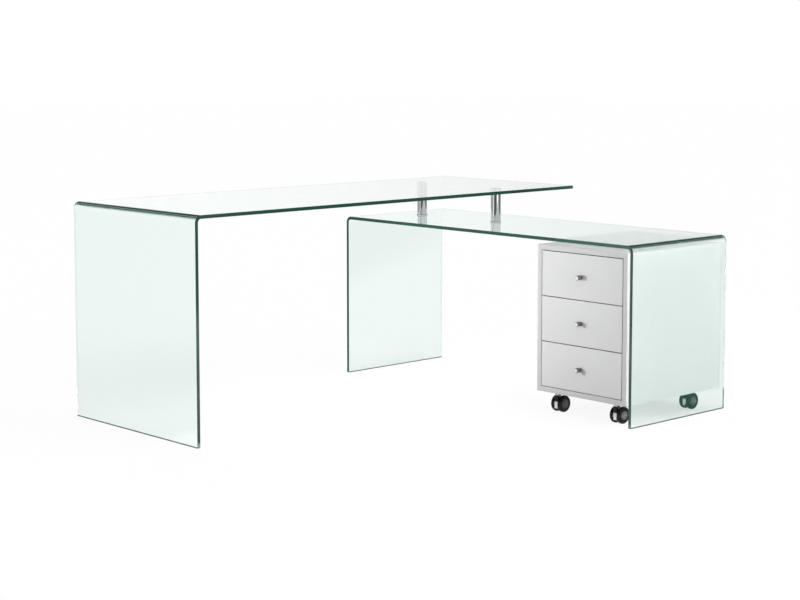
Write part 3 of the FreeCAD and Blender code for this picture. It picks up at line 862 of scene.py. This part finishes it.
def rounded_bar(name, radius, foot, top, sides):
    """An upright round bar with both rims broken."""
    rim = [(radius - RIM_ROUND, foot), (radius - SINK, foot + SINK), (radius, foot + RIM_ROUND)]
    return turned(name, rim + [(r, foot + top - z) for r, z in reversed(rim)], sides)


low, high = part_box(first + "_housing")
axle_low, axle_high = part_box(first + "_axle")
half = (high.x - low.x) / 2
boss_radius = half - 0.4 * MM
disc_radius = high.y - (axle_low.y + axle_high.y) / 2
trail = high.y - low.y - disc_radius - boss_radius
laid_over = (0, math.pi / 2, 0)
disc = settle(rounded_bar("disc", disc_radius, -half, half, 96), (0, trail, axle_z), laid_over)
hood = worked(disc, rounded_bar("boss", boss_radius, low.z, HOOD_TOP, 72), "UNION")
worked(hood, block("below", (-0.05, -0.05, -0.01), (0.05, 0.08, HOOD_FOOT)), "DIFFERENCE")
neck = rounded_bar("neck", boss_radius - 0.3 * MM, HOOD_TOP - RIM_ROUND, high.z, 72)
core_radius = disc_radius - 2 * MM
core = turned("core", [(core_radius - RIM_ROUND, RIM_ROUND - half), (core_radius, 2 * RIM_ROUND - half),
                       (core_radius, half - 2 * RIM_ROUND), (core_radius - RIM_ROUND, half - RIM_ROUND)], 96)
settle(core, (0, trail, axle_z), laid_over)
stem_low, stem_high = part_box("caster_stems")
bottom, top, under = stem_low.z / MM, stem_high.z / MM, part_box("carcass_bottom")[0].z / MM
step = high.z / MM + 0.3
stem_profile = [(STEM - 0.4, bottom), (STEM, bottom + 0.4), (STEM, step), (COLLAR - 0.4, step),
                (COLLAR, step + 0.4), (COLLAR, under - 3.4), (COLLAR - 0.6, under - 2.9),
                (COLLAR - 0.6, under - 2.5), (FLANGE - 0.5, under - 2.5), (FLANGE, under - 2.0),
                (FLANGE, under - 0.2), (FLANGE - 0.2, under), (STEM, under), (STEM, top)]
stem = turned("stem", in_metres(stem_profile), 72)
stems = []
for name in CASTERS:
    caster = name + "_caster"
    low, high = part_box(caster + "_housing")
    y = low.y + boss_radius
    spot = ((low.x + high.x) / 2, y, 0)
    dress(copy_of(hood, name + "_caster_hood", spot), caster, "chrome", caster + "_housing")
    pair = copy_of(core, "core_part", spot), copy_of(neck, "neck_part", spot)
    dress(joined(name + "_caster_core", *pair), caster, "wheel_nylon")
    stems.append(copy_of(stem, "stem_part", spot))
    for side, way in (("left", -1), ("right", 1)):
        body = caster + "_" + side + "_wheel"
        for pattern, piece, slot, node in ((wheel, "_tyre", "wheel_nylon", body),
                                           (cap, "_cap", "cap_plastic", caster + "_" + side + "_hub_cap")):
            low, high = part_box(node)
            seat = (high.x if way < 0 else low.x, y + trail, axle_z)
            made = copy_of(pattern, name + "_" + side + piece, seat, (0, way * math.pi / 2, 0))
            dress(made, body, slot, node)
dress(joined("caster_stem_set", *stems), "pedestal", "bright_steel", "caster_stems")
for pattern in (hood, core, neck, stem, wheel, cap):
    bpy.data.objects.remove(pattern)
print(len(CASTERS), "casters, axle", round(trail / MM, 1), "mm behind the stem")

# %% [markdown]
# ## Floor and studio
# The object stands on a plain pale floor that runs into a white backdrop. Glass and chrome look like
# nothing until they reflect something, so a studio is painted in the world and on the far floor: a white
# backdrop low down, a soft box and a strip light on the user's side, dark gaps and a black ceiling. Those
# show only in mirrors and through glass. Matt surfaces get a soft even light instead, so that they come out
# close to their written colour.

# %% Studio panorama
# each panel has the compass angle of its middle and its half width in degrees, and a tone
DARK_GAP = (-55, 35, 0.12)
SOFT_BOX = (-4.5, 15.5, 1.6)
STRIP_LIGHT = (-96.5, 6, 1.3)
GREY_WALL = 0.45
WHITE_WALL = 1.0
PANEL_BLUR = 3


def towards(tree, level, degrees, half_width):
    """0 to 1 as a level direction comes within half_width degrees of a compass angle, 0 being +X."""
    angle = math.radians(degrees)
    facing = add(tree, "VectorMath", {0: level}, {1: (math.cos(angle), math.sin(angle), 0)},
                 operation="DOT_PRODUCT").outputs["Value"]
    start, full = [math.cos(math.radians(half_width + blur)) for blur in (PANEL_BLUR, -PANEL_BLUR)]
    return add(tree, "MapRange", {"Value": facing}, {"From Min": start, "From Max": full}).outputs[0]


def coated(tree, grey, *coats):
    """Lay tones over a grey one after the other, each by its share."""
    for share, tone in coats:
        grey = add(tree, "Mix", {"Factor": share, 2: grey}, {3: tone}, data_type="FLOAT").outputs[0]
    return grey


def panorama(tree, way, inner):
    """The studio round the object as mirrors see it, and the level direction that it is painted by."""
    flat = add(tree, "VectorMath", {0: way}, {1: (1, 1, 0)}, operation="MULTIPLY")
    level = add(tree, "VectorMath", {0: flat.outputs[0]}, operation="NORMALIZE").outputs[0]
    # light thrown back inside the glass finds white walls, so that the far edges of the legs stay light
    walls = add(tree, "MapRange", {"Value": inner}, {"To Min": GREY_WALL, "To Max": WHITE_WALL}).outputs[0]
    panels = [(towards(tree, level, degrees, half_width), tone)
              for degrees, half_width, tone in (DARK_GAP, SOFT_BOX, STRIP_LIGHT)]
    return coated(tree, walls, *panels), level


def light_paths(tree):
    """Camera, mirror, inner and glass paths, all before any matt surface, and glass paths after one."""
    path = add(tree, "LightPath")
    through = path.outputs["Is Transmission Ray"]
    first = add(tree, "Math", {0: path.outputs["Diffuse Depth"]}, {1: 0.5}, operation="LESS_THAN").outputs[0]
    # rays through glass are glossy too, so a mirror's ray is a glossy one that was thrown back somewhere
    thrown_back = add(tree, "Math", {0: path.outputs["Glossy Depth"]}, {1: 0.5}, operation="GREATER_THAN")
    polished = add(tree, "Math", {0: path.outputs["Is Glossy Ray"], 1: first}, operation="MULTIPLY")
    mirror = add(tree, "Math", {0: polished.outputs[0], 1: thrown_back.outputs[0]},
                 operation="MULTIPLY").outputs[0]
    inner = add(tree, "Math", {0: mirror, 1: through}, operation="MULTIPLY").outputs[0]
    clear = add(tree, "Math", {0: through, 1: first}, operation="MULTIPLY")
    glass = add(tree, "Math", {0: clear.outputs[0], 1: mirror}, operation="GREATER_THAN").outputs[0]
    under = add(tree, "Math", {0: through, 1: first}, operation="GREATER_THAN").outputs[0]
    return path.outputs["Is Camera Ray"], mirror, inner, glass, under


print("panels:", DARK_GAP[2], "grey,", SOFT_BOX[2], "and", STRIP_LIGHT[2], "white, on walls of", GREY_WALL)

# %% Floor
FLOOR_LIGHT = 0.97
FLOOR_GAP = (48, 13, 0.1)
# the share of the light from above that comes back, which sets how dark a shadow gets
SHADE = 0.1
SHADE_UNDER_GLASS = 0.33
BOUNCE_UNDER_GLASS = 0.85

rest()
bpy.ops.mesh.primitive_plane_add(size=60)
floor = bpy.context.object
floor.name = "studio_floor"
floor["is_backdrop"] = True
material, tree, place, out = new_finish("pale_studio_floor")
camera_ray, mirror, inner, glass, under = light_paths(tree)
room, level = panorama(tree, place, inner)
room = coated(tree, room, (towards(tree, level, *FLOOR_GAP[:2]), FLOOR_GAP[2]))
reach = add(tree, "VectorMath", {0: place}, operation="LENGTH").outputs["Value"]
beyond = add(tree, "MapRange", {"Value": reach}, {"From Min": 0.8, "From Max": 1.0}).outputs[0]
far = add(tree, "Math", {0: beyond, 1: mirror}, operation="MULTIPLY").outputs[0]
direct = add(tree, "Math", {0: camera_ray, 1: mirror}, operation="MAXIMUM").outputs[0]
seen = add(tree, "Math", {0: direct, 1: glass}, operation="MAXIMUM").outputs[0]
# painted shade: for light bouncing off it, the floor is darker near the pedestal, so matt surfaces near it
# shade off downwards
near_by = add(tree, "VectorMath", {0: place}, {1: (0.3, -0.1, 0)}, operation="DISTANCE").outputs["Value"]
bounce = add(tree, "MapRange", {"Value": near_by},
             {"From Min": 0.1, "From Max": 1.6, "To Min": 0.1, "To Max": 0.7}).outputs[0]
paper = coated(tree, bounce, (under, BOUNCE_UNDER_GLASS), (seen, SHADE_UNDER_GLASS), (camera_ray, SHADE),
               (far, 0.0))
white = add(tree, "MapRange", {"Value": paper}, {"From Max": 1 / FLOOR_LIGHT, "To Min": 1.0, "To Max": 0.0})
# painted shade: through the glass the floor under the desk is drawn a little darker than the open floor
below = add(tree, "VectorMath", {0: place}, {1: (-0.5, -0.2, 0)}, operation="DISTANCE").outputs["Value"]
dim = add(tree, "MapRange", {"Value": below},
          {"From Min": 0.5, "From Max": 1.6, "To Min": 0.93, "To Max": 1.0}).outputs[0]
dim = coated(tree, dim, (camera_ray, 1.0))
lift = add(tree, "Math", {0: seen, 1: white.outputs[0]}, operation="MULTIPLY")
lift = add(tree, "Math", {0: lift.outputs[0], 1: dim}, operation="MULTIPLY")
lift = add(tree, "Mix", {"Factor": far, 2: lift.outputs[0], 3: room}, data_type="FLOAT")
matt = add(tree, "BsdfDiffuse", {"Color": paper})
glow = add(tree, "Emission", {"Strength": lift.outputs[0]})
both = add(tree, "AddShader", {0: matt.outputs[0], 1: glow.outputs[0]})
tree.links.new(both.outputs[0], out.inputs["Surface"])
floor.data.materials.append(material)
print("floor:", len(tree.nodes), "nodes")

# %% World
CEILING = 0.02
WARM = (1, 0.92, 0.93, 1)
SCREEN_BEHIND_GLASS = 1.3
WINDOW_BEHIND_GLASS = 2.7

world = bpy.data.worlds.new("studio")
bpy.context.scene.world = world
world.use_nodes = True
tree = world.node_tree
tree.nodes.clear()
out = add(tree, "OutputWorld")
camera_ray, mirror, inner, glass, under = light_paths(tree)
way = add(tree, "TexCoord").outputs["Generated"]
height = add(tree, "SeparateXYZ", {0: way}).outputs["Z"]
room, level = panorama(tree, way, inner)
low_down = add(tree, "MapRange", {"Value": height},
               {"From Min": 0.14, "From Max": 0.33, "To Min": 1, "To Max": 0}).outputs[0]
# the white backdrop all round brightens to the left, so that the tops pale from right to left
leftward = add(tree, "VectorMath", {0: level}, {1: (-0.866, 0.5, 0)}, operation="DOT_PRODUCT")
white = add(tree, "MapRange", {"Value": leftward.outputs["Value"]},
            {"From Min": 0.9, "To Min": 0.8, "To Max": 1.12}).outputs[0]
room = add(tree, "Mix", {"Factor": low_down, 2: room, 3: white}, data_type="FLOAT").outputs[0]
up_high = add(tree, "MapRange", {"Value": height}, {"From Min": 0.28, "From Max": 0.36}).outputs[0]
room = coated(tree, room, (up_high, CEILING))

# even light for matt surfaces: a broad window to the right of the pedestal and a dark screen before it
side = add(tree, "VectorMath", {0: way}, {1: (0.88, 0.45, 0.12)}, operation="DOT_PRODUCT")
window = add(tree, "MapRange", {"Value": side.outputs["Value"]}, {"From Min": 0.45, "To Max": 2.6})
gain = add(tree, "MapRange", {"Value": under}, {"To Min": 1.0, "To Max": WINDOW_BEHIND_GLASS})
window = add(tree, "Math", {0: window.outputs[0], 1: gain.outputs[0]}, operation="MULTIPLY").outputs[0]
front = add(tree, "VectorMath", {0: way}, {1: (0.0, -0.98, 0.17)}, operation="DOT_PRODUCT")
screen = add(tree, "MapRange", {"Value": front.outputs["Value"]},
             {"From Min": 0.0, "To Min": 0.78, "To Max": 0.12}).outputs[0]
screen = coated(tree, screen, (under, SCREEN_BEHIND_GLASS))
even = add(tree, "Math", {0: window, 1: screen}, operation="ADD").outputs[0]
direct = add(tree, "Math", {0: mirror, 1: glass}, operation="MAXIMUM").outputs[0]
shown = add(tree, "Mix", {"Factor": direct, 2: even, 3: room}, data_type="FLOAT").outputs[0]
final = coated(tree, shown, (camera_ray, 1.0))
# light that reaches a board through the glass is warmed, or the green would count twice
warm = add(tree, "Mix", {"Factor": under}, {6: (1, 1, 1, 1), 7: WARM}, data_type="RGBA")
light = add(tree, "Background", {"Strength": final, "Color": warm.outputs[2]})
tree.links.new(light.outputs[0], out.inputs["Surface"])
print("world:", len(tree.nodes), "nodes")

# %% Lamps
def soft_lamp(name, place, aim, size, energy):
    """A round area lamp that lights matt surfaces and stays out of sight and of mirrors."""
    rest()
    bpy.ops.object.light_add(type="AREA", location=place)
    lamp = bpy.context.object
    lamp.name = name
    lamp.data.shape = "DISK"
    lamp.data.size = size
    lamp.data.energy = energy
    lamp.visible_camera = False
    lamp.visible_glossy = False
    lamp.visible_transmission = False
    lamp.rotation_euler = (Vector(aim) - Vector(place)).to_track_quat("-Z", "Y").to_euler()


soft_lamp("soft_key", (2.5, -3.5, 4.0), (0, 0, 0.4), 3.0, 20)
soft_lamp("near_fill", (-0.1, -0.66, 0.53), (0.5, 0.34, 0.37), 0.3, 6.2)

# %% [markdown]
# ## Camera
# The picture is taken from the user's side of the main top, across its free corner, a little above the glass
# and nearly level. A long lens keeps the two tops almost parallel. The lens is shifted down slightly
# instead of tilting the camera further, so that the legs stay upright.

# %% Camera
EYE = (4.502, -4.245, 1.283)
HEADING = 0.8196
TILT = 0.0974
LENS = 80.0
LENS_SHIFT = -0.1

camera_data = bpy.data.cameras.new("studio_camera")
camera = bpy.data.objects.new("studio_camera", camera_data)
bpy.context.scene.collection.objects.link(camera)
camera_data.lens = LENS
camera_data.shift_y = LENS_SHIFT
camera.location = EYE
camera.rotation_euler = (math.radians(90) - TILT, 0, HEADING)
bpy.context.scene.camera = camera
bpy.context.scene.view_settings.view_transform = "Standard"
print("camera:", round(math.degrees(TILT), 1), "degrees below level on a", round(LENS), "mm lens")

# %% Finish
low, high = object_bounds()
print("size in mm:", [round((b - a) / MM) for a, b in zip(low, high)])
